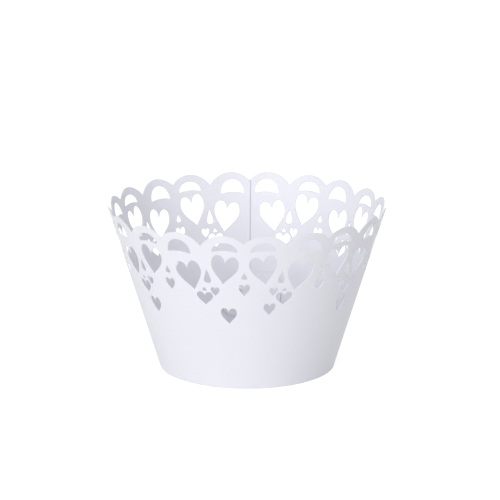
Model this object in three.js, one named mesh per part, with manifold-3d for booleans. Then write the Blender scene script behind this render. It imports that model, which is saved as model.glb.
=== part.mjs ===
// Cupcake wrapper: one sheet of white card, cut with a lace of hearts along its upper edge
// and rolled into a tapered sleeve that a tongue and a slit hold shut at the back.
// Millimetres, +Z up. The sleeve stands on its lower edge at z = 0 and its front faces -Y.
import * as THREE from "three";
import { mergeVertices } from "three/addons/utils/BufferGeometryUtils.js";
import Module from "manifold-3d";

// Sleeve
const baseDiameter = 52;
const rimDiameter = 82;
const sleeveHeight = 49.2;
const cardThickness = 0.35;
const laceTurn = THREE.MathUtils.degToRad(-1.1);

// Scalloped rim: two lobes over each big heart
const lobeSpacing = 13.8;
const notchDepth = 4;
const rimStrip = 2.2;

// Pair of leaning hearts inside each big heart
const pairWidth = 7.9;
const pairHeight = 9.4;
const pairStrip = 2.6;
const pairShift = 1;
const pairStagger = 2.6;
const leftLean = THREE.MathUtils.degToRad(10);
const rightLean = THREE.MathUtils.degToRad(-8);

// Crescents between the rim strip and the pair
const crescentWidth = 7.4;
const crescentRise = 3.1;
const crescentLift = 0.5;
const crescentWeb = 1.1;

// Drop, specks and small heart that fill the foot of each big heart
const dropWidth = 2;
const dropHeight = 4.7;
const speckSize = 1.3;
const petalWidth = 2.5;
const petalHeight = 2.9;
const veeWidth = 4.8;
const veeHeight = 4.2;
const footWeb = 0.7;

// Drop and small heart between two big hearts
const sideDropWidth = 1.6;
const sideDropHeight = 2.5;
const sideHeartWidth = 3.2;
const sideHeartHeight = 3.8;
const sideWeb = 2.1;
const sideHeartGap = 1.6;

// Hearts scattered under the lace
const lowWidth = 4.6;
const lowHeight = 5.2;
const lowGap = 0.8;
const lowStep = THREE.MathUtils.degToRad(42.6);
const lowFirst = THREE.MathUtils.degToRad(-7.6);
const lowCount = 4;
const nearWidth = 3.4;
const nearHeight = 3.9;
const nearAngle = THREE.MathUtils.degToRad(12);

// Seam at the back: a flap inside, and a tongue that goes in through a slit
const seamGap = 0.3;
const plyGap = 0.2;
const flapLength = 10;
const flapMargin = 2;
const flapChamfer = 3;
const tongueWidth = 8;
const tongueLength = 9;
const tongueRoot = 1;
const slitDistance = 3;
const slitWidth = 1.8;
const slitClearance = 0.3;
const blendLength = 14;

// Facets
const columns = 60;
const heartCurve = 3;
const crescentCurve = 4;
const dropCurve = 3;
const speckCurve = 2;
const lobeCurve = 10;
const endCurve = 5;
const cutterInside = 2;
const cutterOutside = 4;
const cutterMargin = 0.5;

// Values that follow from the sizes above
const baseRadius = baseDiameter / 2;
const rimRadius = rimDiameter / 2;
const slantLength = Math.hypot(rimRadius - baseRadius, sleeveHeight);
const fullTurn = 2 * Math.PI;
const seamAngle = laceTurn - Math.PI;
const heartPitch = 2 * pairWidth + pairStrip + sideHeartWidth + 2 * sideWeb;
const heartCount = Math.round((fullTurn * rimRadius) / heartPitch);
const heartAngle = fullTurn / heartCount;
const plyOffset = cardThickness + plyGap;

// Depths below the tips of the rim, measured along the card
const rightPairTop = rimStrip + crescentRise + crescentWeb;
const leftPairTop = rightPairTop + pairStagger;
const leftPairTip = leftPairTop + pairHeight;
const veeTop = leftPairTip + footWeb / 2;
const veeTip = veeTop + veeHeight;
const lowMiddle = veeTip + lowGap + lowHeight / 2;
const nearMiddle = veeTip + nearHeight / 2 - footWeb;
const plainHeight = slantLength - lowMiddle - lowHeight / 2;
const seamMiddle = plainHeight / 2;

const wasm = await Module();
wasm.setup();

function radiusAt(slant) {
  return baseRadius + ((rimRadius - baseRadius) * slant) / slantLength;
}

function smooth(share) {
  const t = THREE.MathUtils.clamp(share, 0, 1);
  return t * t * (3 - 2 * t);
}

// How far the sheet lies inside the cone near its inner end: one ply in, then back out.
function plyStep(angle) {
  const distance = (angle - seamAngle) * radiusAt(seamMiddle);
  return -plyOffset * (1 - smooth((distance - tongueLength - slitWidth) / blendLength));
}

// A point of the rolled sheet: angle from the front, distance up the card, distance off its outer face.
function rollPoint(angle, slant, offset, step = plyStep(angle)) {
  const radius = radiusAt(slant) + offset + step;
  const height = (sleeveHeight * slant) / slantLength;
  return new THREE.Vector3(radius * Math.sin(angle), -radius * Math.cos(angle), height);
}

// Moves every vertex of a closed geometry and turns the result into a solid.
function bendToSolid(geometry, bend) {
  geometry.deleteAttribute("normal");
  geometry.deleteAttribute("uv");
  const merged = mergeVertices(geometry);
  const positions = merged.getAttribute("position");
  const vertex = new THREE.Vector3();
  for (let i = 0; i < positions.count; i += 1) {
    vertex.fromBufferAttribute(positions, i);
    positions.setXYZ(i, ...bend(vertex).toArray());
  }
  const vertProperties = new Float32Array(positions.array);
  const triVerts = new Uint32Array(merged.index.array);
  return new wasm.Manifold(new wasm.Mesh({ numProp: 3, vertProperties, triVerts }));
}

// A strip of sheet through stations that each hold an angle, a low and a high edge and a step.
function ribbon(stations, inside, outside) {
  const segments = stations.length - 1;
  const box = new THREE.BoxGeometry(segments, 1, 1, segments, 1, 1);
  return bendToSolid(box, (vertex) => {
    const station = stations[Math.round(vertex.x + segments / 2)];
    const slant = vertex.y > 0 ? station.high : station.low;
    const offset = vertex.z > 0 ? outside : -inside;
    return rollPoint(station.angle, slant, offset, station.step);
  });
}

// A flat outline pushed through the card, with its middle at an angle and a distance up the card.
function cutter(outline, segments, angle, slant, lean = 0) {
  const depth = cutterInside + cutterOutside;
  const prism = new THREE.ExtrudeGeometry(outline, { depth, bevelEnabled: false, curveSegments: segments });
  prism.rotateZ(lean);
  const push = new THREE.Vector3(Math.sin(angle), -Math.cos(angle), 0);
  return bendToSolid(prism, (vertex) => {
    const pointSlant = slant + vertex.y;
    const pointAngle = angle + vertex.x / radiusAt(pointSlant);
    return rollPoint(pointAngle, pointSlant, 0).addScaledVector(push, vertex.z - cutterInside);
  });
}

function heartOutline(width, height) {
  const half = width / 2;
  const notch = height * 0.23;
  const shoulder = height * 0.2;
  const peak = height * 0.59;
  const outline = new THREE.Shape();
  outline.moveTo(0, notch);
  outline.bezierCurveTo(half * 0.16, peak, half, peak, half, shoulder);
  outline.bezierCurveTo(half, -height * 0.08, half * 0.3, -height * 0.3, 0, -height / 2);
  outline.bezierCurveTo(-half * 0.3, -height * 0.3, -half, -height * 0.08, -half, shoulder);
  outline.bezierCurveTo(-half, peak, -half * 0.16, peak, 0, notch);
  return outline;
}

function dropOutline(width, height) {
  const outline = new THREE.Shape();
  outline.moveTo(0, height / 2);
  outline.bezierCurveTo(-width * 0.1, height * 0.15, -width * 1.09, -height / 2, 0, -height / 2);
  outline.bezierCurveTo(width * 1.09, -height / 2, width * 0.1, height * 0.15, 0, height / 2);
  return outline;
}

function crescentOutline(width, rise, lift) {
  const half = width / 2;
  const arch = (rise * 4) / 3;
  const outline = new THREE.Shape();
  outline.moveTo(half, 0);
  outline.bezierCurveTo(half, arch, -half, arch, -half, 0);
  outline.quadraticCurveTo(0, 2 * lift, half, 0);
  return outline;
}

// One big heart: side is 1 as seen from outside, and -1 for its mirror image.
function heartCutters(angle, side) {
  const cuts = [];
  const rim = slantLength;
  const place = (outline, segments, x, depth, lean = 0) => {
    const slant = rim - depth;
    cuts.push(cutter(outline, segments, angle + (side * x) / radiusAt(slant), slant, side * lean));
  };
  const pairReach = (pairWidth + pairStrip) / 2;
  const pair = heartOutline(pairWidth, pairHeight);
  place(pair, heartCurve, pairShift - pairReach, leftPairTop + pairHeight / 2, leftLean);
  place(pair, heartCurve, pairShift + pairReach, rightPairTop + pairHeight / 2, rightLean);

  const leftRise = crescentRise + pairStagger / 2;
  const leftCrescent = crescentOutline(crescentWidth, leftRise, crescentLift);
  const rightCrescent = crescentOutline(crescentWidth, crescentRise, crescentLift);
  place(leftCrescent, crescentCurve, -lobeSpacing / 2, rimStrip + leftRise);
  place(rightCrescent, crescentCurve, lobeSpacing / 2, rimStrip + crescentRise);

  const dropMiddle = leftPairTip - footWeb - speckSize - footWeb - dropHeight / 2;
  place(dropOutline(dropWidth, dropHeight), dropCurve, pairShift, dropMiddle);
  const speckX = pairShift - speckSize;
  place(dropOutline(speckSize, speckSize), speckCurve, speckX, leftPairTip - speckSize / 2);
  place(heartOutline(petalWidth, petalHeight), heartCurve, pairShift + petalWidth * 0.75, leftPairTip);
  place(heartOutline(veeWidth, veeHeight), heartCurve, -footWeb / 2, veeTop + veeHeight / 2);
  return cuts;
}

// The drop and small heart between two big hearts.
function sideCutters(angle) {
  const rim = slantLength;
  const dropSlant = rim - leftPairTop - pairStagger - sideDropHeight / 2;
  const heartSlant = dropSlant - (sideDropHeight + sideHeartHeight) / 2 - sideHeartGap;
  const drop = dropOutline(sideDropWidth, sideDropHeight);
  const heart = heartOutline(sideHeartWidth, sideHeartHeight);
  return [cutter(drop, speckCurve, angle, dropSlant), cutter(heart, heartCurve, angle, heartSlant)];
}

// Hearts scattered round the plain band, mirrored but for a smaller one near the front.
function lowCutters() {
  const low = heartOutline(lowWidth, lowHeight);
  const near = heartOutline(nearWidth, nearHeight);
  const cuts = [cutter(near, heartCurve, laceTurn + nearAngle, slantLength - nearMiddle)];
  for (let i = 0; i < lowCount; i += 1) {
    cuts.push(cutter(low, heartCurve, laceTurn + lowFirst - i * lowStep, slantLength - lowMiddle));
  }
  for (let i = 1; i < lowCount; i += 1) {
    cuts.push(cutter(low, heartCurve, laceTurn + nearAngle + i * lowStep, slantLength - lowMiddle));
  }
  return cuts;
}

// Everything above the scallops: a band round the rim less the lobes.
function rimCutter() {
  const halfSpacing = lobeSpacing / 2;
  const lobeRadius = (halfSpacing ** 2 + notchDepth ** 2) / (2 * notchDepth);
  const lobe = new THREE.Shape();
  lobe.absarc(0, 0, lobeRadius, 0, Math.PI, false);
  lobe.closePath();
  const band = [];
  for (let i = 0; i <= columns; i += 1) {
    const angle = seamAngle + (i * fullTurn) / columns;
    band.push({ angle, low: slantLength - notchDepth - cutterMargin, high: slantLength + cutterMargin });
  }
  let waste = ribbon(band, cutterInside / 2, cutterOutside / 2);
  for (let i = 0; i < heartCount; i += 1) {
    const middle = seamAngle + (i + 0.5) * heartAngle;
    for (const side of [-1, 1]) {
      const angle = middle + (side * halfSpacing) / rimRadius;
      waste = waste.subtract(cutter(lobe, lobeCurve, angle, slantLength - lobeRadius));
    }
  }
  return waste;
}

// The flat sheet's outline, rolled: flap inside the seam, then the sleeve all the way round.
function blank() {
  const seamRadius = radiusAt(seamMiddle);
  const halfGap = seamGap / (2 * baseRadius);
  const flapLow = flapMargin;
  const flapHigh = plainHeight - flapMargin;
  const flapAngle = (distance) => seamAngle - distance / seamRadius;
  const stations = [
    { angle: flapAngle(flapLength), low: flapLow + flapChamfer, high: flapHigh - flapChamfer },
    { angle: flapAngle(flapLength - flapChamfer), low: flapLow, high: flapHigh },
    { angle: flapAngle(flapLength / 3), low: flapLow, high: flapHigh },
    { angle: seamAngle + halfGap, low: flapLow, high: flapHigh },
    { angle: seamAngle + halfGap, low: 0, high: slantLength },
  ];
  for (let i = 1; i < columns; i += 1) {
    stations.push({ angle: seamAngle + (i * fullTurn) / columns, low: 0, high: slantLength });
  }
  stations.push({ angle: seamAngle + fullTurn - halfGap, low: 0, high: slantLength });
  return ribbon(stations, cardThickness, 0);
}

// The tongue at the sheet's outer end: out past the edge, in through the slit, flat along the inside.
function tongue() {
  const seamRadius = radiusAt(seamMiddle);
  const half = tongueWidth / 2;
  const rampStart = slitDistance - slitWidth / 2 + plyGap / 2;
  const rampEnd = slitDistance + slitWidth / 2 - plyGap / 2;
  const station = (distance, reach, step) => {
    const angle = seamAngle + fullTurn + distance / seamRadius;
    return { angle, low: seamMiddle - reach, high: seamMiddle + reach, step };
  };
  const stations = [
    station(-tongueRoot, half, 0),
    station(rampStart, half, 0),
    station(rampEnd, half, -2 * plyOffset),
  ];
  const straight = tongueLength - half;
  for (let i = 0; i <= endCurve; i += 1) {
    const turn = (i / (endCurve + 1)) * (Math.PI / 2);
    stations.push(station(straight + half * Math.sin(turn), half * Math.cos(turn), -2 * plyOffset));
  }
  return ribbon(stations, cardThickness, 0);
}

function slit() {
  const halfHeight = tongueWidth / 2 + slitClearance;
  const outline = new THREE.Shape();
  outline.moveTo(-slitWidth / 2, -halfHeight);
  outline.lineTo(slitWidth / 2, -halfHeight);
  outline.lineTo(slitWidth / 2, halfHeight);
  outline.lineTo(-slitWidth / 2, halfHeight);
  return cutter(outline, 1, seamAngle + slitDistance / radiusAt(seamMiddle), seamMiddle);
}

function wrapperSolid() {
  const cuts = [rimCutter(), slit(), ...lowCutters()];
  for (let i = 0; i < heartCount; i += 1) {
    const side = i < heartCount / 2 ? 1 : -1;
    cuts.push(...heartCutters(seamAngle + (i + 0.5) * heartAngle, side));
    if (i > 0) cuts.push(...sideCutters(seamAngle + i * heartAngle));
  }
  const sheet = cuts.reduce((solid, cut) => solid.subtract(cut), blank());
  return sheet.add(tongue());
}

function meshOf(solid, material, name) {
  const data = solid.getMesh();
  const geometry = new THREE.BufferGeometry();
  geometry.setAttribute("position", new THREE.BufferAttribute(data.vertProperties, data.numProp));
  geometry.setIndex(new THREE.BufferAttribute(data.triVerts, 1));
  geometry.computeVertexNormals();
  const mesh = new THREE.Mesh(geometry, material);
  mesh.name = name;
  return mesh;
}

const card = new THREE.MeshStandardMaterial({ color: 0xf4f4fa, roughness: 0.62, metalness: 0 });

const cupcakeWrapper = new THREE.Group();
cupcakeWrapper.add(meshOf(wrapperSolid(), card, "wrapper"));

export default cupcakeWrapper;
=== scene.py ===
import math

import bmesh
import bpy
from bpy.props import FloatProperty, FloatVectorProperty, IntProperty, PointerProperty
from mathutils import Matrix, Vector


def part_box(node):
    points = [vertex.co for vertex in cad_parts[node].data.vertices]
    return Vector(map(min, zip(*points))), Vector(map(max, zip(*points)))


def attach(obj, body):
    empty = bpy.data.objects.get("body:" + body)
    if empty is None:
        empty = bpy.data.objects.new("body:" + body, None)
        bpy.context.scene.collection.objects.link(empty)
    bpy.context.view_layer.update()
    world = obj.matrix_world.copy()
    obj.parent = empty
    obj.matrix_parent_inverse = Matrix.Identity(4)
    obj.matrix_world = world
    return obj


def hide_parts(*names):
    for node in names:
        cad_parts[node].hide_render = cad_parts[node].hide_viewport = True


bl_info = {
    "name": "Cupcake Wrapper",
    "version": (1, 0, 0),
    "blender": (4, 5, 0),
    "location": "3D View > Sidebar > Wrapper",
    "description": "A rolled card wrapper with a pierced lace of hearts, on a plain stage",
    "category": "Object",
}

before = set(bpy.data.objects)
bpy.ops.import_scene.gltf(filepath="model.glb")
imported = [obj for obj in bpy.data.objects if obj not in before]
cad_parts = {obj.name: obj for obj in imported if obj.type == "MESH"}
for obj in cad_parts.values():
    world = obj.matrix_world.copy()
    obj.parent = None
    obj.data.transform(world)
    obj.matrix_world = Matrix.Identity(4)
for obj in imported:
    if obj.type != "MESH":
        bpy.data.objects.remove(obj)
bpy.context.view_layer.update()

WRAPPER_NODE = "wrapper"
low_corner, high_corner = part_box(WRAPPER_NODE)

# Heart: heights as shares of its height, handles as shares of half its width
HEART_NOTCH = 0.23
HEART_PEAK = 0.59
HEART_SHOULDER = 0.2
HEART_FLANK = -0.08
HEART_CLEFT = 0.16
HEART_FOOT = 0.3

# Drop: its handles as shares of its width and height
DROP_NECK_WIDTH = 0.1
DROP_NECK_HEIGHT = 0.15
DROP_BELLY = 1.09

# Crescent: the handle for each unit of rise, and where its lower handles stand
ARCH_HANDLE = 4 / 3
ARCH_INSET = 1 / 3

# Places that repeat in the lace
PETAL_REACH = 0.75
RIM_PASSES = 3

# Waver of the lace: waves round the card, their phase and their share
WAVES = ((5, 0.7, 1.0), (13, 2.1, 0.6))
WAVER_RISE = 3

# Mesh: distances in metres, angles and leans that tell a bend from a cut edge
WELD_DISTANCE = 1e-6
OUTLINE_WELD_DISTANCE = 2e-5
STRAIGHT_ANGLE = math.radians(0.05)
SHARP_ANGLE = math.radians(30)
WALL_RISE = 0.5
CHAMFER_RISE = 0.9
EDGE_MATERIAL = 1

# Paper grain
CLOUD_SHARE = 0.35
CLOUD_DETAIL = 3
FIBRE_DETAIL = 5
FIBRE_ROUGHNESS = 0.62
FIBRE_DISTORTION = 1.6
FIBRES_PER_CELL = 4
GLOSS_SPAN = 0.08
FACE_SHADE = 0.05
EDGE_SHADE = 0.2
EDGE_RELIEF = 3

# Stage: places and sizes of the lamps in metres, and the camera's frame
KEY_PLACE, KEY_SIZE = (-0.52, -1.04, 0.45), 0.7
FILL_PLACE, FILL_SIZE = (0.95, -0.55, 0.5), 0.9
TOP_PLACE, TOP_SIZE = (0, 0.2, 1.1), 0.8
FLOOR_ROUGHNESS = 0.9
SENSOR_WIDTH = 36
FRAME_PIXELS = 500


def length(name, description, default):
    return FloatProperty(
        name=name, description=description, default=default, unit="LENGTH", precision=5
    )


def turn(name, description, degrees):
    return FloatProperty(
        name=name, description=description, default=math.radians(degrees), subtype="ANGLE"
    )


def share(name, description, default):
    return FloatProperty(name=name, description=description, default=default, subtype="FACTOR")


def colour(name, description, default):
    return FloatVectorProperty(
        name=name, description=description, default=default, size=3, subtype="COLOR", min=0, max=1
    )


class SleeveSizes(bpy.types.PropertyGroup):
    """The rolled sleeve as a whole."""

    base_diameter: length("Base diameter", "Across the lower edge", 0.052)
    rim_diameter: length("Rim diameter", "Across the tips of the scallops", 0.082)
    height: length("Height", "From the lower edge to the tips", high_corner[2] - low_corner[2])
    thickness: length("Card thickness", "Thickness of the sheet", 0.00035)
    lace_turn: turn("Lace turn", "Angle from the front to the middle of the lace", -1.1)
    waver: length("Waver", "How far the lace strays from a true cone", 0.00012)
    columns: IntProperty(name="Columns", description="Facets round the sleeve", default=240, min=24)
    curve_steps: IntProperty(name="Curve steps", description="Steps in each curve", default=10, min=2)
    edge_break: length("Edge break", "Chamfer that the die leaves on a cut edge", 0.00004)


class LaceSizes(bpy.types.PropertyGroup):
    """The openings of the lace, measured on the flat card."""

    lobe_spacing: length("Lobe spacing", "Between the two lobes over a big heart", 0.0138)
    notch_depth: length("Notch depth", "Depth of the notch between them", 0.004)
    rim_strip: length("Rim strip", "Card left over each crescent", 0.0022)
    pair_width: length("Pair width", "Width of each leaning heart", 0.0079)
    pair_height: length("Pair height", "Height of each leaning heart", 0.0094)
    pair_strip: length("Pair strip", "Card between the leaning hearts", 0.0026)
    pair_shift: length("Pair shift", "Middle of the pair from the big heart's middle", 0.001)
    pair_stagger: length("Pair stagger", "How much lower the outer heart sits", 0.0026)
    left_lean: turn("Left lean", "Lean of the lower heart", 10)
    right_lean: turn("Right lean", "Lean of the upper heart", -8)
    crescent_width: length("Crescent width", "Width of the crescents", 0.0074)
    crescent_rise: length("Crescent rise", "Height of the lower crescent", 0.0031)
    crescent_lift: length("Crescent lift", "Rise of a crescent's lower edge", 0.0005)
    crescent_web: length("Crescent web", "Card under a crescent", 0.0011)
    drop_width: length("Drop width", "Width of the drop between the pair", 0.002)
    drop_height: length("Drop height", "Height of that drop", 0.0047)
    speck_size: length("Speck size", "Size of the speck by the drop", 0.0013)
    petal_width: length("Petal width", "Width of the small upper heart", 0.0025)
    petal_height: length("Petal height", "Height of the small upper heart", 0.0029)
    vee_width: length("Foot heart width", "Width of the heart at the foot", 0.0048)
    vee_height: length("Foot heart height", "Height of the heart at the foot", 0.0042)
    foot_web: length("Foot web", "Card between the small openings", 0.0007)
    side_drop_width: length("Side drop width", "Width of the drop between big hearts", 0.0016)
    side_drop_height: length("Side drop height", "Height of that drop", 0.0025)
    side_heart_width: length("Side heart width", "Width of the heart between big hearts", 0.0032)
    side_heart_height: length("Side heart height", "Height of that heart", 0.0038)
    side_web: length("Side web", "Card on each side of it", 0.0021)
    side_heart_gap: length("Side gap", "Card between the drop and that heart", 0.0016)
    low_width: length("Low heart width", "Width of the scattered hearts", 0.0046)
    low_height: length("Low heart height", "Height of the scattered hearts", 0.0052)
    low_gap: length("Low gap", "Card over the scattered hearts", 0.0008)
    low_step: turn("Low step", "Angle between scattered hearts", 42.6)
    low_first: turn("Low first", "Angle of the first one from the lace's middle", -7.6)
    low_count: IntProperty(name="Low count", description="Scattered hearts on a side", default=4)
    near_width: length("Near heart width", "Width of the smaller heart by the front", 0.0034)
    near_height: length("Near heart height", "Height of the smaller heart by the front", 0.0039)
    near_angle: turn("Near angle", "Angle of the smaller heart from the lace's middle", 12)


class SeamSizes(bpy.types.PropertyGroup):
    """The flap, tongue and slit at the back."""

    seam_lap: length("Seam lap", "How far one end of the lace reaches past the other", 0.0003)
    ply_gap: length("Ply gap", "Air between two plies", 0.0002)
    flap_length: length("Flap length", "Reach of the flap inside", 0.010)
    flap_margin: length("Flap margin", "Flap edge to the base and to the lace", 0.002)
    flap_chamfer: length("Flap chamfer", "Cut corner of the flap", 0.003)
    tongue_width: length("Tongue width", "Width of the tongue", 0.008)
    tongue_length: length("Tongue length", "Reach of the tongue past the edge", 0.009)
    slit_distance: length("Slit distance", "From the edge to the slit", 0.003)
    slit_width: length("Slit width", "How far the slit gapes", 0.0018)
    slit_clearance: length("Slit clearance", "Slit beyond each side of the tongue", 0.0003)
    blend_length: length("Blend length", "Where the inner ply comes back out", 0.014)


class CardFinish(bpy.types.PropertyGroup):
    """Colour and grain of the card."""

    face_colour: colour("Face colour", "Smooth white face of the card", (0.85, 0.853, 0.915))
    edge_colour: colour("Edge colour", "Cut edge, where the fibres show", (0.74, 0.73, 0.75))
    face_roughness: share("Face roughness", "Roughness of the face", 0.56)
    edge_roughness: share("Edge roughness", "Roughness of the cut edge", 0.9)
    fibre_size: length("Fibre size", "Width of a paper fibre", 0.00012)
    cloud_size: length("Cloud size", "Size of the faint clouds in the sheet", 0.004)
    grain_depth: length("Grain depth", "Relief of the paper grain", 0.00002)


class StageSettings(bpy.types.PropertyGroup):
    """Camera, lamps and floor."""

    distance: length("Camera distance", "From the aim point", 0.713)
    elevation: turn("Camera elevation", "Above the horizon", 14.68)
    aim_x: length("Aim across", "Aim point across", 0.00091)
    aim_z: length("Aim height", "Aim point up", 0.03469)
    focal_pixels: FloatProperty(
        name="Focal pixels", description="Focal length in pixels of a 500 pixel frame", default=2414
    )
    floor_size: length("Floor size", "Side of the floor", 8.0)
    floor_colour: colour("Floor colour", "Pale floor", (0.80, 0.80, 0.80))
    floor_lift: share("Floor lift", "White added to the floor where it is seen", 0.55)
    key_power: FloatProperty(name="Key power", description="Lamp at the left front", default=7.5)
    fill_power: FloatProperty(name="Fill power", description="Lamp at the right", default=1.0)
    top_power: FloatProperty(name="Top power", description="Lamp overhead", default=1.2)
    sky_strength: share("Sky strength", "Even light from all round", 0.54)


SETTINGS = {
    "wrapper_sleeve": SleeveSizes,
    "wrapper_lace": LaceSizes,
    "wrapper_seam": SeamSizes,
    "wrapper_finish": CardFinish,
    "wrapper_stage": StageSettings,
}


def smooth(value):
    t = min(max(value, 0.0), 1.0)
    return t * t * (3 - 2 * t)


class Roll:
    """The flat card and the cone that it rolls into.

    Flat x is the angle from the front times the rim radius, and flat y is the distance up the card.
    """

    def __init__(self, sleeve, lace, seam):
        self.base_radius = sleeve.base_diameter / 2
        self.rim_radius = sleeve.rim_diameter / 2
        self.height = sleeve.height
        self.waver = sleeve.waver
        self.slant = math.hypot(self.rim_radius - self.base_radius, self.height)
        self.seam_angle = sleeve.lace_turn - math.pi
        self.ply = sleeve.thickness + seam.ply_gap
        big_heart = 2 * lace.pair_width + lace.pair_strip
        pitch = big_heart + lace.side_heart_width + 2 * lace.side_web
        self.heart_count = round(2 * math.pi * self.rim_radius / pitch)
        self.heart_angle = 2 * math.pi / self.heart_count
        self.half_lap = seam.seam_lap / (2 * self.base_radius)
        self.right_pair_top = lace.rim_strip + lace.crescent_rise + lace.crescent_web
        self.left_pair_top = self.right_pair_top + lace.pair_stagger
        self.left_pair_tip = self.left_pair_top + lace.pair_height
        self.vee_top = self.left_pair_tip + lace.foot_web / 2
        vee_tip = self.vee_top + lace.vee_height
        self.low_middle = vee_tip + lace.low_gap + lace.low_height / 2
        self.near_middle = vee_tip + lace.near_height / 2 - lace.foot_web
        self.plain_height = self.slant - self.low_middle - lace.low_height / 2
        self.seam_middle = self.plain_height / 2
        self.seam_radius = self.radius(self.seam_middle)
        self.blend_start = seam.tongue_length + seam.slit_width
        self.blend_length = seam.blend_length
        self.ramp_start = seam.slit_distance - seam.slit_width / 2 + seam.ply_gap / 2
        self.ramp_end = seam.slit_distance + seam.slit_width / 2 - seam.ply_gap / 2

    def radius(self, slant):
        return self.base_radius + (self.rim_radius - self.base_radius) * slant / self.slant

    def flat(self, angle, slant):
        return Vector((angle * self.rim_radius, slant))

    def step(self, angle):
        """How far the card lies inside the cone: under the seam, and along the tongue."""
        past_end = (angle - self.seam_angle - 2 * math.pi) * self.seam_radius
        if past_end > 0:
            ramp = (past_end - self.ramp_start) / (self.ramp_end - self.ramp_start)
            return -2 * self.ply * smooth(ramp)
        distance = (angle - self.seam_angle) * self.seam_radius
        return -self.ply * (1 - smooth((distance - self.blend_start) / self.blend_length))

    def stray(self, angle, slant):
        """A slow waver of the lace, none at the plain band or the seam."""
        rise = smooth((slant - self.plain_height) / (self.slant - self.plain_height))
        off_seam = smooth(WAVER_RISE * (1 + math.cos(angle - self.seam_angle - math.pi)))
        wave = sum(part * math.sin(count * angle + phase) for count, phase, part in WAVES)
        return self.waver * rise * off_seam * wave

    def point(self, flat):
        """Where a point of the flat card lands: its z is its height over the card's outer face."""
        angle = flat.x / self.rim_radius
        radius = self.radius(flat.y) + self.step(angle) + self.stray(angle, flat.y) + flat.z
        height = self.height * flat.y / self.slant
        return Vector((radius * math.sin(angle), -radius * math.cos(angle), height))


def heart_knots(width, height):
    """A heart as four knots: each has its place, the handle before it and the handle after it."""
    half = width / 2
    cleft = half * HEART_CLEFT
    foot = half * HEART_FOOT
    foot_height = -height * HEART_FOOT
    peak = height * HEART_PEAK
    shoulder = height * HEART_SHOULDER
    flank = height * HEART_FLANK
    return [
        ((0, height * HEART_NOTCH), (-cleft, peak), (cleft, peak)),
        ((half, shoulder), (half, peak), (half, flank)),
        ((0, -height / 2), (foot, foot_height), (-foot, foot_height)),
        ((-half, shoulder), (-half, flank), (-half, peak)),
    ]


def drop_knots(width, height):
    """A drop as two knots: its point at the top and the middle of its round foot."""
    half = height / 2
    neck = width * DROP_NECK_WIDTH
    neck_height = height * DROP_NECK_HEIGHT
    belly = width * DROP_BELLY
    return [
        ((0, half), (neck, neck_height), (-neck, neck_height)),
        ((0, -half), (-belly, -half), (belly, -half)),
    ]


def crescent_knots(width, rise, lift):
    """A crescent as its two corners, with a high arch over them and a low one under them."""
    half = width / 2
    inset = half * ARCH_INSET
    arch = rise * ARCH_HANDLE
    sag = lift * ARCH_HANDLE
    return [
        ((half, 0), (inset, sag), (half, arch)),
        ((-half, 0), (-half, arch), (-inset, sag)),
    ]


def add_opening(curve, roll, knots, angle, slant, lean=0.0):
    """A closed Bezier outline on the flat card, round an angle and a distance up the card."""
    spin = Matrix.Rotation(lean, 2)
    spline = curve.splines.new("BEZIER")
    spline.bezier_points.add(len(knots) - 1)
    spline.use_cyclic_u = True
    for point, places in zip(spline.bezier_points, knots):
        flats = []
        for place in places:
            across, up = spin @ Vector(place)
            flat = roll.flat(angle + across / roll.radius(slant + up), slant + up)
            flats.append(flat.to_3d())
        point.handle_left_type = "FREE"
        point.handle_right_type = "FREE"
        point.co, point.handle_left, point.handle_right = flats


def add_polygon(curve, places):
    """A closed outline of straight sides on the flat card."""
    spline = curve.splines.new("POLY")
    spline.points.add(len(places) - 1)
    spline.use_cyclic_u = True
    for point, place in zip(spline.points, places):
        point.co = (place.x, place.y, 0, 1)


def add_big_heart(curve, roll, lace, angle, side):
    """The openings inside one big heart: side is 1 as seen from outside, -1 for its mirror image."""

    def place(knots, across, depth, lean=0.0):
        slant = roll.slant - depth
        turned = angle + side * across / roll.radius(slant)
        add_opening(curve, roll, knots, turned, slant, side * lean)

    reach = (lace.pair_width + lace.pair_strip) / 2
    pair = heart_knots(lace.pair_width, lace.pair_height)
    half_pair = lace.pair_height / 2
    place(pair, lace.pair_shift - reach, roll.left_pair_top + half_pair, lace.left_lean)
    place(pair, lace.pair_shift + reach, roll.right_pair_top + half_pair, lace.right_lean)

    left_rise = lace.crescent_rise + lace.pair_stagger / 2
    left = crescent_knots(lace.crescent_width, left_rise, lace.crescent_lift)
    right = crescent_knots(lace.crescent_width, lace.crescent_rise, lace.crescent_lift)
    place(left, -lace.lobe_spacing / 2, lace.rim_strip + left_rise)
    place(right, lace.lobe_spacing / 2, lace.rim_strip + lace.crescent_rise)

    drop = drop_knots(lace.drop_width, lace.drop_height)
    drop_foot = roll.left_pair_tip - 2 * lace.foot_web - lace.speck_size
    place(drop, lace.pair_shift, drop_foot - lace.drop_height / 2)
    speck = drop_knots(lace.speck_size, lace.speck_size)
    place(speck, lace.pair_shift - lace.speck_size, roll.left_pair_tip - lace.speck_size / 2)
    petal = heart_knots(lace.petal_width, lace.petal_height)
    place(petal, lace.pair_shift + lace.petal_width * PETAL_REACH, roll.left_pair_tip)
    foot = heart_knots(lace.vee_width, lace.vee_height)
    place(foot, -lace.foot_web / 2, roll.vee_top + lace.vee_height / 2)


def add_side_openings(curve, roll, lace, angle):
    """The drop and small heart between two big hearts."""
    drop_top = roll.slant - roll.left_pair_top - lace.pair_stagger
    drop_slant = drop_top - lace.side_drop_height / 2
    fall = (lace.side_drop_height + lace.side_heart_height) / 2 + lace.side_heart_gap
    drop = drop_knots(lace.side_drop_width, lace.side_drop_height)
    heart = heart_knots(lace.side_heart_width, lace.side_heart_height)
    add_opening(curve, roll, drop, angle, drop_slant)
    add_opening(curve, roll, heart, angle, drop_slant - fall)


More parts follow.
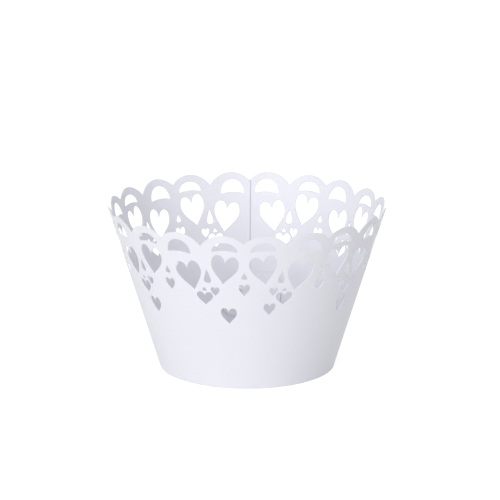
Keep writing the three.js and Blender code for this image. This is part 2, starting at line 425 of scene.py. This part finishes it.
def add_low_hearts(curve, roll, lace, middle):
    """Hearts scattered under the lace, mirrored but for a smaller one near the front."""
    low = heart_knots(lace.low_width, lace.low_height)
    near = heart_knots(lace.near_width, lace.near_height)
    slant = roll.slant - roll.low_middle
    add_opening(curve, roll, near, middle + lace.near_angle, roll.slant - roll.near_middle)
    for i in range(lace.low_count):
        add_opening(curve, roll, low, middle + lace.low_first - i * lace.low_step, slant)
    for i in range(1, lace.low_count):
        add_opening(curve, roll, low, middle + lace.near_angle + i * lace.low_step, slant)


def rim_places(roll, lace, steps):
    """The scalloped rim from the outer end of the card back to the inner end."""
    half_spacing = lace.lobe_spacing / 2
    lobe_radius = (half_spacing**2 + lace.notch_depth**2) / (2 * lace.notch_depth)
    half_turn = half_spacing / roll.rim_radius
    start = roll.seam_angle - roll.half_lap
    end = roll.seam_angle + 2 * math.pi + roll.half_lap
    centres = []
    for i in range(roll.heart_count):
        middle = roll.seam_angle + (i + 0.5) * roll.heart_angle
        centres += [middle - half_turn, middle + half_turn]
    bounds = [start] + [(a + b) / 2 for a, b in zip(centres, centres[1:])] + [end]
    places = []
    for centre, low, high in zip(centres, bounds, bounds[1:]):
        for step in range(steps):
            angle = low + (high - low) * step / steps
            slant = roll.slant
            for _ in range(RIM_PASSES):
                across = (angle - centre) * roll.radius(slant)
                slant = roll.slant - lobe_radius + math.sqrt(lobe_radius**2 - across**2)
            places.append(roll.flat(angle, slant))
    places.append(roll.flat(end, places[0].y))
    return list(reversed(places))


def card_places(roll, lace, seam, steps):
    """The outline of the flat card: rim, flap at one end, base, tongue at the other."""
    start = roll.seam_angle - roll.half_lap
    end = roll.seam_angle + 2 * math.pi + roll.half_lap
    flap_low = seam.flap_margin
    flap_high = roll.plain_height - seam.flap_margin
    half_tongue = seam.tongue_width / 2

    def at(angle, distance, slant):
        return roll.flat(angle + distance / roll.seam_radius, slant)

    chamfer = seam.flap_chamfer
    places = rim_places(roll, lace, 2 * steps)
    places += [
        roll.flat(start, flap_high),
        at(roll.seam_angle, chamfer - seam.flap_length, flap_high),
        at(roll.seam_angle, -seam.flap_length, flap_high - chamfer),
        at(roll.seam_angle, -seam.flap_length, flap_low + chamfer),
        at(roll.seam_angle, chamfer - seam.flap_length, flap_low),
        roll.flat(start, flap_low),
        roll.flat(start, 0),
        roll.flat(end, 0),
        roll.flat(end, roll.seam_middle - half_tongue),
    ]
    straight = seam.tongue_length - half_tongue
    full = roll.seam_angle + 2 * math.pi
    for i in range(2 * steps + 1):
        bow = math.pi * (i / (2 * steps) - 0.5)
        reach = straight + half_tongue * math.cos(bow)
        places.append(at(full, reach, roll.seam_middle + half_tongue * math.sin(bow)))
    places.append(roll.flat(end, roll.seam_middle + half_tongue))
    return places


def flat_card(roll, sleeve, lace, seam):
    """The flat sheet with its lace and slit, as a filled curve turned into a mesh."""
    curve = bpy.data.curves.new("card_outline", "CURVE")
    curve.dimensions = "2D"
    curve.fill_mode = "BOTH"
    curve.resolution_u = sleeve.curve_steps
    add_polygon(curve, card_places(roll, lace, seam, sleeve.curve_steps))
    for i in range(roll.heart_count):
        side = 1 if i < roll.heart_count / 2 else -1
        add_big_heart(curve, roll, lace, roll.seam_angle + (i + 0.5) * roll.heart_angle, side)
        if i:
            add_side_openings(curve, roll, lace, roll.seam_angle + i * roll.heart_angle)
    add_low_hearts(curve, roll, lace, sleeve.lace_turn)
    slit = roll.seam_angle + seam.slit_distance / roll.seam_radius
    half_wide = seam.slit_width / (2 * roll.seam_radius)
    half_high = seam.tongue_width / 2 + seam.slit_clearance
    corners = [(-1, -1), (1, -1), (1, 1), (-1, 1)]
    add_polygon(
        curve,
        [roll.flat(slit + a * half_wide, roll.seam_middle + b * half_high) for a, b in corners],
    )
    holder = bpy.data.objects.new("card_outline", curve)
    mesh = bpy.data.meshes.new_from_object(holder)
    bpy.data.objects.remove(holder)
    bpy.data.curves.remove(curve)
    return mesh


def bend_lines(bm, roll, sleeve):
    """Where the card will bend: midway between the rim's notches, and along the tongue's ramp."""
    pitch = 2 * math.pi * roll.rim_radius / sleeve.columns
    start = roll.seam_angle * roll.rim_radius + pitch / 2
    first = math.ceil((min(vert.co.x for vert in bm.verts) - start) / pitch)
    last = math.floor((max(vert.co.x for vert in bm.verts) - start) / pitch)
    lines = [start + pitch * i for i in range(first, last + 1)]
    full = roll.seam_angle + 2 * math.pi
    ramp = roll.ramp_end - roll.ramp_start
    for i in range(sleeve.curve_steps + 1):
        distance = roll.ramp_start + ramp * i / sleeve.curve_steps
        lines.append((full + distance / roll.seam_radius) * roll.rim_radius)
    return lines


def crosses(face, x):
    sides = [vert.co.x for vert in face.verts]
    return min(sides) < x < max(sides)


def cut_columns(bm, roll, sleeve):
    """Cuts the flat card along its bend lines, and joins all the faces between two of them."""
    for x in bend_lines(bm, roll, sleeve):
        near = [face for face in bm.faces if crosses(face, x)]
        edges = {edge for face in near for edge in face.edges}
        verts = {vert for face in near for vert in face.verts}
        cut = bmesh.ops.bisect_plane(
            bm,
            geom=list(verts) + list(edges) + near,
            dist=WELD_DISTANCE,
            plane_co=(x, 0, 0),
            plane_no=(1, 0, 0),
        )
        for item in cut["geom_cut"]:
            if isinstance(item, bmesh.types.BMEdge):
                item.seam = True
    for weld_distance in (WELD_DISTANCE, OUTLINE_WELD_DISTANCE):
        bmesh.ops.remove_doubles(bm, verts=bm.verts, dist=weld_distance)
        bmesh.ops.dissolve_degenerate(bm, dist=WELD_DISTANCE, edges=bm.edges)
        bmesh.ops.dissolve_limit(
            bm,
            angle_limit=STRAIGHT_ANGLE,
            use_dissolve_boundaries=False,
            verts=bm.verts,
            edges=bm.edges,
            delimit={"SEAM"},
        )


def steep_faces(bm, rise):
    """Faces of the flat card whose normal rises by less than this share."""
    return [face for face in bm.faces if abs(face.normal.z) < rise]


def break_edges(bm, sleeve):
    """The small chamfer round every cut edge, while the card is flat."""
    walls = set(steep_faces(bm, WALL_RISE))
    edges = [edge for edge in bm.edges if sum(face in walls for face in edge.link_faces) == 1]
    bmesh.ops.bevel(
        bm,
        geom=edges,
        offset=sleeve.edge_break,
        offset_type="OFFSET",
        segments=1,
        profile=0.5,
        affect="EDGES",
        material=-1,
        loop_slide=False,
        clamp_overlap=False,
    )


def new_material(name):
    material = bpy.data.materials.new(name)
    material.use_nodes = True
    nodes = material.node_tree.nodes
    return material, nodes, material.node_tree.links, nodes["Principled BSDF"]


def set_inputs(node, **values):
    """Sets input sockets, whose names are given with _ for a space."""
    for name, value in values.items():
        node.inputs[name.replace("_", " ")].default_value = value


def paper_grain_group():
    """Fibres, faint clouds and relief of uncoated card, on Object coordinates."""
    group = bpy.data.node_groups.new("paper_grain", "ShaderNodeTree")
    sockets = group.interface
    sockets.new_socket(name="Vector", in_out="INPUT", socket_type="NodeSocketVector")
    for name in ("Fibre Scale", "Cloud Scale"):
        sockets.new_socket(name=name, in_out="INPUT", socket_type="NodeSocketFloat")
    for name in ("Fibre", "Height"):
        sockets.new_socket(name=name, in_out="OUTPUT", socket_type="NodeSocketFloat")
    nodes, links = group.nodes, group.links
    entry = nodes.new("NodeGroupInput")
    leave = nodes.new("NodeGroupOutput")
    fibre = nodes.new("ShaderNodeTexNoise")
    set_inputs(
        fibre, Detail=FIBRE_DETAIL, Roughness=FIBRE_ROUGHNESS, Distortion=FIBRE_DISTORTION
    )
    cloud = nodes.new("ShaderNodeTexNoise")
    set_inputs(cloud, Detail=CLOUD_DETAIL)
    blend = nodes.new("ShaderNodeMath")
    blend.operation = "MULTIPLY_ADD"
    blend.inputs[1].default_value = CLOUD_SHARE
    links.new(entry.outputs["Vector"], fibre.inputs["Vector"])
    links.new(entry.outputs["Fibre Scale"], fibre.inputs["Scale"])
    links.new(entry.outputs["Vector"], cloud.inputs["Vector"])
    links.new(entry.outputs["Cloud Scale"], cloud.inputs["Scale"])
    links.new(cloud.outputs["Fac"], blend.inputs[0])
    links.new(fibre.outputs["Fac"], blend.inputs[2])
    links.new(fibre.outputs["Fac"], leave.inputs["Fibre"])
    links.new(blend.outputs["Value"], leave.inputs["Height"])
    return group


def card_material(name, group, finish, tint, roughness, shade_span, grain):
    """Paper: the tint dulled a little by its clouds and fibres, with a fine relief."""
    material, nodes, links, shader = new_material(name)
    place = nodes.new("ShaderNodeTexCoord")
    paper = nodes.new("ShaderNodeGroup")
    paper.node_tree = group
    fibre_scale = 1 / finish.fibre_size / FIBRES_PER_CELL
    set_inputs(paper, Fibre_Scale=fibre_scale, Cloud_Scale=1 / finish.cloud_size)
    shade = nodes.new("ShaderNodeMapRange")
    set_inputs(shade, From_Max=1 + CLOUD_SHARE, To_Min=1 - shade_span, To_Max=1)
    mix = nodes.new("ShaderNodeMix")
    mix.data_type = "RGBA"
    mix.blend_type = "MULTIPLY"
    set_inputs(mix, Factor=1, A=(*tint, 1))
    dull = nodes.new("ShaderNodeMapRange")
    set_inputs(dull, To_Min=roughness - GLOSS_SPAN, To_Max=min(roughness + GLOSS_SPAN, 1))
    relief = nodes.new("ShaderNodeBump")
    set_inputs(relief, Strength=1, Distance=grain)
    links.new(place.outputs["Object"], paper.inputs["Vector"])
    links.new(paper.outputs["Height"], shade.inputs["Value"])
    links.new(shade.outputs["Result"], mix.inputs["B"])
    links.new(mix.outputs["Result"], shader.inputs["Base Color"])
    links.new(paper.outputs["Fibre"], dull.inputs["Value"])
    links.new(dull.outputs["Result"], shader.inputs["Roughness"])
    links.new(paper.outputs["Height"], relief.inputs["Height"])
    links.new(relief.outputs["Normal"], shader.inputs["Normal"])
    return material


def card_materials(finish):
    """The smooth face of the card and its rougher cut edge, in the order that the faces use."""
    group = paper_grain_group()
    tint, roughness = finish.face_colour, finish.face_roughness
    grain = finish.grain_depth
    face = card_material("card_face", group, finish, tint, roughness, FACE_SHADE, grain)
    tint, roughness = finish.edge_colour, finish.edge_roughness
    grain = EDGE_RELIEF * finish.grain_depth
    edge = card_material("card_edge", group, finish, tint, roughness, EDGE_SHADE, grain)
    return face, edge


def mark_sharp(bm):
    """Smooth shading that stops at the cut edges."""
    for edge in bm.edges:
        edge.smooth = len(edge.link_faces) == 2 and edge.calc_face_angle(0) < SHARP_ANGLE
    for face in bm.faces:
        face.smooth = True


class WRAPPER_OT_card(bpy.types.Operator):
    """Cut the lace from flat card, give it thickness and roll it into the sleeve"""

    bl_idname = "wrapper.card"
    bl_label = "Rolled card"

    def execute(self, context):
        scene = context.scene
        sleeve, lace, seam = scene.wrapper_sleeve, scene.wrapper_lace, scene.wrapper_seam
        finish = scene.wrapper_finish
        roll = Roll(sleeve, lace, seam)
        mesh = flat_card(roll, sleeve, lace, seam)
        bm = bmesh.new()
        bm.from_mesh(mesh)
        bmesh.ops.remove_doubles(bm, verts=bm.verts, dist=WELD_DISTANCE)
        cut_columns(bm, roll, sleeve)
        lifted = bmesh.ops.extrude_face_region(bm, geom=bm.faces[:])
        inner = [item for item in lifted["geom"] if isinstance(item, bmesh.types.BMVert)]
        bmesh.ops.translate(bm, verts=inner, vec=(0, 0, -sleeve.thickness))
        bmesh.ops.recalc_face_normals(bm, faces=bm.faces)
        break_edges(bm, sleeve)
        for face in steep_faces(bm, CHAMFER_RISE):
            face.material_index = EDGE_MATERIAL
        for vert in bm.verts:
            vert.co = roll.point(vert.co)
        bm.normal_update()
        mark_sharp(bm)
        bm.to_mesh(mesh)
        bm.free()
        mesh.name = "rolled_card"
        card = bpy.data.objects.new("rolled_card", mesh)
        context.collection.objects.link(card)
        mesh.materials.clear()
        for material in card_materials(finish):
            mesh.materials.append(material)
        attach(card, "root")
        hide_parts(WRAPPER_NODE)
        return {"FINISHED"}


def area_lamp(name, power, size, place, aim):
    """A round soft lamp, turned towards the aim point."""
    data = bpy.data.lights.new(name, "AREA")
    data.energy = power
    data.shape = "DISK"
    data.size = size
    lamp = bpy.data.objects.new(name, data)
    lamp.location = place
    lamp.rotation_euler = (Vector(aim) - Vector(place)).to_track_quat("-Z", "Y").to_euler()
    bpy.context.collection.objects.link(lamp)


def seen_directly(nodes, links):
    """1 on rays that show a surface: straight from the camera, mirrored, or through glass."""
    path = nodes.new("ShaderNodeLightPath")
    first = nodes.new("ShaderNodeMath")
    first.operation = "MAXIMUM"
    second = nodes.new("ShaderNodeMath")
    second.operation = "MAXIMUM"
    links.new(path.outputs["Is Camera Ray"], first.inputs[0])
    links.new(path.outputs["Is Glossy Ray"], first.inputs[1])
    links.new(first.outputs["Value"], second.inputs[0])
    links.new(path.outputs["Is Transmission Ray"], second.inputs[1])
    return second.outputs["Value"]


def floor_material(stage):
    """Pale matte floor, lifted to white where it is seen, so that only its shadow shows."""
    material, nodes, links, shader = new_material("pale_floor")
    set_inputs(
        shader,
        Base_Color=(*stage.floor_colour, 1),
        Roughness=FLOOR_ROUGHNESS,
        Specular_IOR_Level=0,
    )
    glow = nodes.new("ShaderNodeEmission")
    both = nodes.new("ShaderNodeAddShader")
    scale = nodes.new("ShaderNodeMath")
    scale.operation = "MULTIPLY"
    scale.inputs[1].default_value = stage.floor_lift
    links.new(seen_directly(nodes, links), scale.inputs[0])
    links.new(scale.outputs["Value"], glow.inputs["Strength"])
    links.new(shader.outputs["BSDF"], both.inputs[0])
    links.new(glow.outputs["Emission"], both.inputs[1])
    links.new(both.outputs["Shader"], nodes["Material Output"].inputs["Surface"])
    return material


def soft_world(scene, stage):
    """An even pale sky that is white where it is seen."""
    world = bpy.data.worlds.new("soft_sky")
    world.use_nodes = True
    nodes, links = world.node_tree.nodes, world.node_tree.links
    sky = nodes["Background"]
    set_inputs(sky, Color=(1, 1, 1, 1))
    strength = nodes.new("ShaderNodeMapRange")
    set_inputs(strength, To_Min=stage.sky_strength, To_Max=1)
    links.new(seen_directly(nodes, links), strength.inputs["Value"])
    links.new(strength.outputs["Result"], sky.inputs["Strength"])
    scene.world = world


class WRAPPER_OT_stage(bpy.types.Operator):
    """Set up the pale floor, the soft lamps and the camera"""

    bl_idname = "wrapper.stage"
    bl_label = "Stage"

    def execute(self, context):
        scene = context.scene
        stage = scene.wrapper_stage
        bm = bmesh.new()
        bmesh.ops.create_grid(bm, x_segments=1, y_segments=1, size=stage.floor_size / 2)
        mesh = bpy.data.meshes.new("floor")
        bm.to_mesh(mesh)
        bm.free()
        floor = bpy.data.objects.new("floor", mesh)
        floor.data.materials.append(floor_material(stage))
        context.collection.objects.link(floor)
        middle = (0, 0, scene.wrapper_sleeve.height / 2)
        area_lamp("key_lamp", stage.key_power, KEY_SIZE, KEY_PLACE, middle)
        area_lamp("fill_lamp", stage.fill_power, FILL_SIZE, FILL_PLACE, middle)
        area_lamp("top_lamp", stage.top_power, TOP_SIZE, TOP_PLACE, middle)
        soft_world(scene, stage)
        lens = bpy.data.cameras.new("camera")
        lens.sensor_width = SENSOR_WIDTH
        lens.lens = stage.focal_pixels / FRAME_PIXELS * SENSOR_WIDTH
        camera = bpy.data.objects.new("camera", lens)
        back = stage.distance * math.cos(stage.elevation)
        up = stage.distance * math.sin(stage.elevation)
        camera.location = (stage.aim_x, -back, stage.aim_z + up)
        camera.rotation_euler = (math.pi / 2 - stage.elevation, 0, 0)
        context.collection.objects.link(camera)
        scene.camera = camera
        scene.view_settings.view_transform = "Standard"
        return {"FINISHED"}


class WRAPPER_PT_panel(bpy.types.Panel):
    """Wrapper tools in the sidebar"""

    bl_label = "Cupcake wrapper"
    bl_space_type = "VIEW_3D"
    bl_region_type = "UI"
    bl_category = "Wrapper"

    def draw(self, context):
        for name, group in SETTINGS.items():
            box = self.layout.box()
            box.label(text=group.__doc__)
            for key in group.__annotations__:
                box.prop(getattr(context.scene, name), key)
        self.layout.operator(WRAPPER_OT_card.bl_idname)
        self.layout.operator(WRAPPER_OT_stage.bl_idname)


CLASSES = (*SETTINGS.values(), WRAPPER_OT_card, WRAPPER_OT_stage, WRAPPER_PT_panel)


def register():
    for cls in CLASSES:
        bpy.utils.register_class(cls)
    for name, group in SETTINGS.items():
        setattr(bpy.types.Scene, name, PointerProperty(type=group))


def unregister():
    for name in SETTINGS:
        delattr(bpy.types.Scene, name)
    for cls in reversed(CLASSES):
        bpy.utils.unregister_class(cls)


def main():
    register()
    bpy.ops.wrapper.card()
    bpy.ops.wrapper.stage()


if __name__ == "__main__":
    main()
